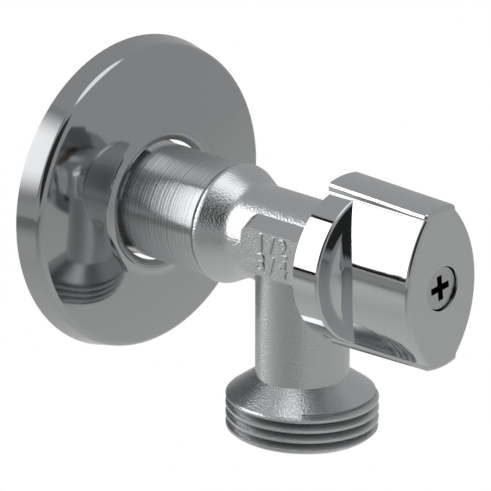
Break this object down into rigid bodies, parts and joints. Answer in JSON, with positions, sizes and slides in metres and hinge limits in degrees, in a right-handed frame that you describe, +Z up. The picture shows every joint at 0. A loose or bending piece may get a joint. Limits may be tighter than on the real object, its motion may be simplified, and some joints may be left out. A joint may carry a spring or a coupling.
{
  "type": "angle valve",
  "caption": "Chromed angle valve: threaded wall tail with a pressed cover plate, ribbed shut-off knob on a screwed spindle, and a threaded hose outlet pointing down.",
  "frame": {"origin": "where the inlet tail's axis meets the wall face, which is the back edge of the wall plate", "axes": "+Y into the wall along the inlet, -Y towards the user along the spindle, -Z along the outlet, +Z up"},
  "size_m": [0.0564, 0.0812, 0.0615],
  "materials": {
    "chromed_brass": "forged and turned brass, chrome plated",
    "chromed_sheet": "pressed sheet steel, polished and chrome plated",
    "chromed_zinc": "die-cast zinc, polished and chrome plated",
    "plated_steel": "zinc plated steel screw",
    "bare_brass": "turned brass, unplated",
    "fibre_gasket": "pressed red fibre",
    "black_rubber": "moulded nitrile rubber"
  },
  "bodies": {
    "valve": {"valve_body": "chromed_brass", "bonnet": "bare_brass", "bonnet_gasket": "fibre_gasket"},
    "wall_plate": {"escutcheon": "chromed_sheet"},
    "washer_carrier": {"jumper": "bare_brass", "seat_washer": "black_rubber", "washer_nut": "bare_brass"},
    "knob": {"spindle": "bare_brass", "spindle_o_ring_inner": "black_rubber", "spindle_o_ring_outer": "black_rubber", "handle": "chromed_zinc", "handle_screw": "plated_steel"}
  },
  "joints": [
    {"name": "wall_plate_slide", "type": "slide", "parent": "valve", "child": "wall_plate", "axis": [0, -1, 0], "range_m": [0, 0.015]},
    {"name": "washer_lift", "type": "slide", "parent": "valve", "child": "washer_carrier", "axis": [0, -1, 0], "range_m": [0, 0.003]},
    {"name": "knob_turn", "type": "hinge", "parent": "washer_carrier", "child": "knob", "pos_m": [0, -0.05, 0], "axis": [0, -1, 0], "range_deg": [0, 720]}
  ],
  "couplings": [
    {"joint": "knob_turn", "follows": "washer_lift", "rad_per_m": 4188.7}
  ]
}
